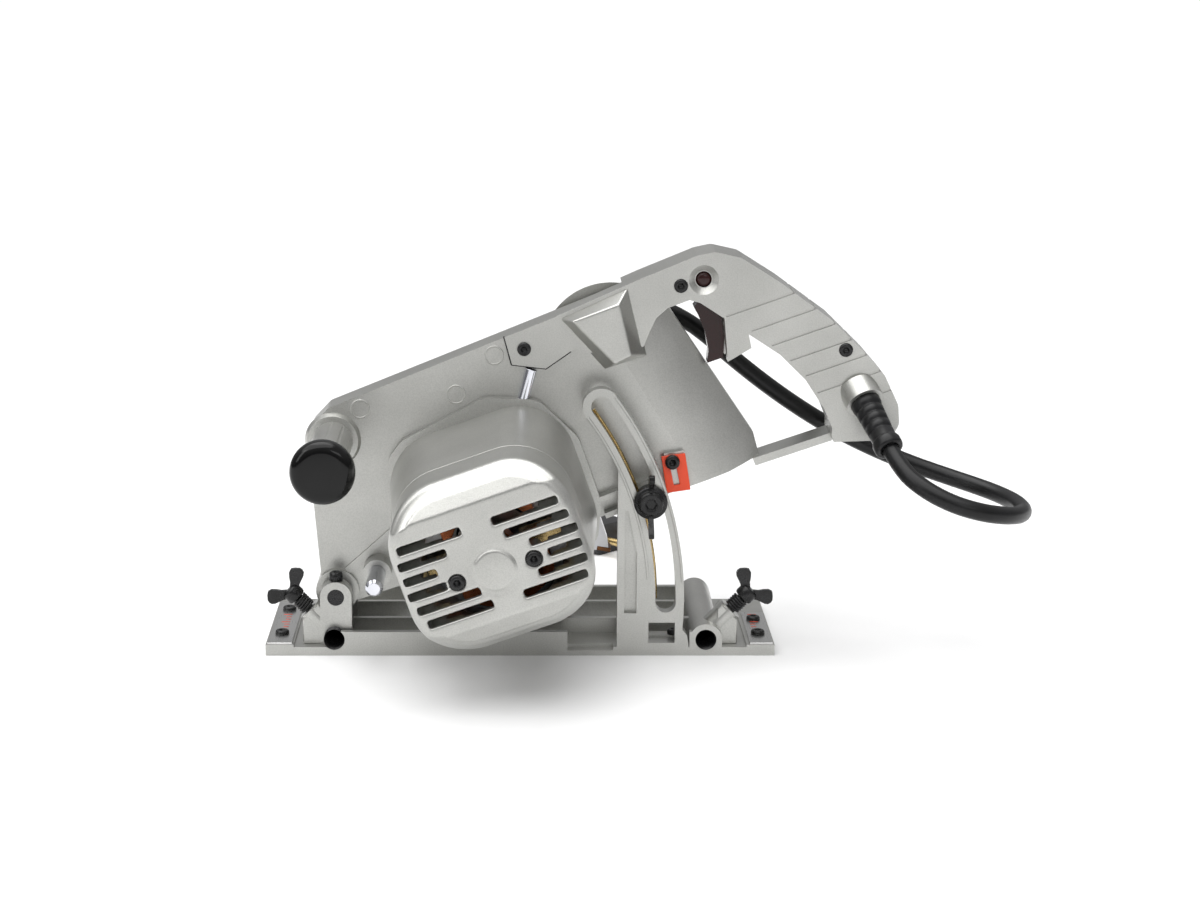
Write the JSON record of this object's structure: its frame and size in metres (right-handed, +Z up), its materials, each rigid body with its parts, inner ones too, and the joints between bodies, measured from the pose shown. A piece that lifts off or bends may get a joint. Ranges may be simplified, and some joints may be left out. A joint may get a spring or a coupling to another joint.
{
  "type": "portable groove cutter",
  "caption": "Hand-held electric groove cutter: slotted depth quadrant and tilting motor unit on a flat base, front knob, closed rear handle and coiled power cord.",
  "frame": {"origin": "on the sole, at the middle of the base's length, 14 mm in from its motor-side edge", "axes": "+X towards the rear handle along the base, +Y away from the motor across the base, +Z up from the sole"},
  "size_m": [0.4327, 0.4297, 0.2284],
  "materials": {
    "cast_silver": "satin silver paint on cast metal",
    "machined_aluminium": "brushed",
    "black_steel": "blackened",
    "steel": "machined",
    "bronze": "dark bronze colour, brazed",
    "copper": "varnished winding",
    "brass": "plain",
    "carbon": "matte",
    "black_plastic": "moulded, matte",
    "gloss_black": "high gloss",
    "dark_red": "moulded, semi gloss",
    "orange_paint": "satin",
    "chrome": "polished",
    "rubber": "matte"
  },
  "bodies": {
    "base": {"base_casting": "cast_silver", "hinge_pin": "black_steel", "hinge_set_screw": "black_steel", "scale_plates": "machined_aluminium", "scale_plate_screws": "black_steel", "depth_quadrant": "cast_silver", "quadrant_screws": "black_steel", "front_wing_spring": "black_steel", "rear_wing_spring": "black_steel", "cord_coil": "rubber", "cord_tie": "black_plastic", "plug_body": "black_plastic", "plug_pins": "brass"},
    "cutting_unit": {"gear_case": "cast_silver", "cutter_cover": "cast_silver", "cover_screws": "black_steel", "dust_spout": "cast_silver", "motor_housing": "cast_silver", "motor_end_cover": "cast_silver", "end_cover_screws": "black_steel", "field_core": "steel", "field_coils": "copper", "brush_holders": "brass", "carbon_brushes": "carbon", "brush_springs": "steel", "bearings": "steel", "front_knob_post": "cast_silver", "front_knob_cap": "gloss_black", "handle_near_shell": "cast_silver", "handle_far_shell": "cast_silver", "handle_screws": "black_steel", "wiring_cover": "cast_silver", "trigger_pin": "steel", "switch_block": "black_plastic", "wire_conduit": "chrome", "pointer_screw": "black_steel", "plunger_spring": "steel", "clamp_stud": "black_steel", "clamp_bush_and_washer": "black_steel", "cord_gland": "rubber", "power_cord": "rubber"},
    "armature": {"armature_shaft": "steel", "drive_pinion": "steel", "armature_core": "steel", "commutator": "copper", "cooling_fan": "black_plastic"},
    "cutter_spindle": {"spindle": "steel", "drive_gear": "steel", "inner_flange": "steel", "outer_flange": "steel", "cutter": "steel", "cutter_tips": "bronze", "cutter_bolt": "black_steel"},
    "trigger": {"trigger": "dark_red"},
    "lock_button": {"lock_button": "dark_red"},
    "depth_pointer": {"depth_pointer": "orange_paint"},
    "stop_plunger": {"stop_plunger": "chrome"},
    "depth_clamp": {"depth_clamp_knob": "black_steel"},
    "front_wing_bolt": {"front_wing_bolt": "black_steel"},
    "rear_wing_bolt": {"rear_wing_bolt": "black_steel"}
  },
  "joints": [
    {"name": "depth_tilt", "type": "hinge", "parent": "base", "child": "cutting_unit", "pos_m": [-0.105, 0.0235, 0.0325], "axis": [0, 1, 0], "range_deg": [-18, 10], "deforming": ["power_cord"]},
    {"name": "spindle_spin", "type": "hinge", "parent": "cutting_unit", "child": "cutter_spindle", "pos_m": [-0.00672, 0.024, 0.06203], "axis": [0, 1, 0], "continuous": true},
    {"name": "armature_spin", "type": "hinge", "parent": "cutting_unit", "child": "armature", "pos_m": [-0.01319, -0.049, 0.08029], "axis": [0, 1, 0], "continuous": true},
    {"name": "trigger_pull", "type": "hinge", "parent": "cutting_unit", "child": "trigger", "pos_m": [0.10556, 0.024, 0.19883], "axis": [0, -1, 0], "range_deg": [0, 7], "stiffness_Nm_per_rad": 0.6, "springref_deg": -8.59},
    {"name": "lock_button_press", "type": "slide", "parent": "cutting_unit", "child": "lock_button", "axis": [0, 1, 0], "range_m": [0, 0.003], "stiffness_N_per_m": 400, "springref_m": -0.002},
    {"name": "pointer_slide", "type": "slide", "parent": "cutting_unit", "child": "depth_pointer", "axis": [-0.2051, 0, 0.9787], "range_m": [0, 0.01]},
    {"name": "plunger_pull", "type": "slide", "parent": "cutting_unit", "child": "stop_plunger", "axis": [0, -1, 0], "range_m": [0, 0.006], "stiffness_N_per_m": 500, "springref_m": -0.003},
    {"name": "depth_clamp_turn", "type": "hinge", "parent": "cutting_unit", "child": "depth_clamp", "pos_m": [0.07329, -0.019, 0.09044], "axis": [0, -1, 0], "range_deg": [0, 150]},
    {"name": "front_wing_turn", "type": "hinge", "parent": "base", "child": "front_wing_bolt", "pos_m": [-0.12701, -0.001, 0.03051], "axis": [-0.7071, 0, 0.7071], "range_deg": [0, 150]},
    {"name": "rear_wing_turn", "type": "hinge", "parent": "base", "child": "rear_wing_bolt", "pos_m": [0.12701, -0.001, 0.03051], "axis": [0.7071, 0, 0.7071], "range_deg": [0, 150]}
  ],
  "couplings": [
    {"joint": "armature_spin", "follows": "spindle_spin", "ratio": -2.875}
  ]
}
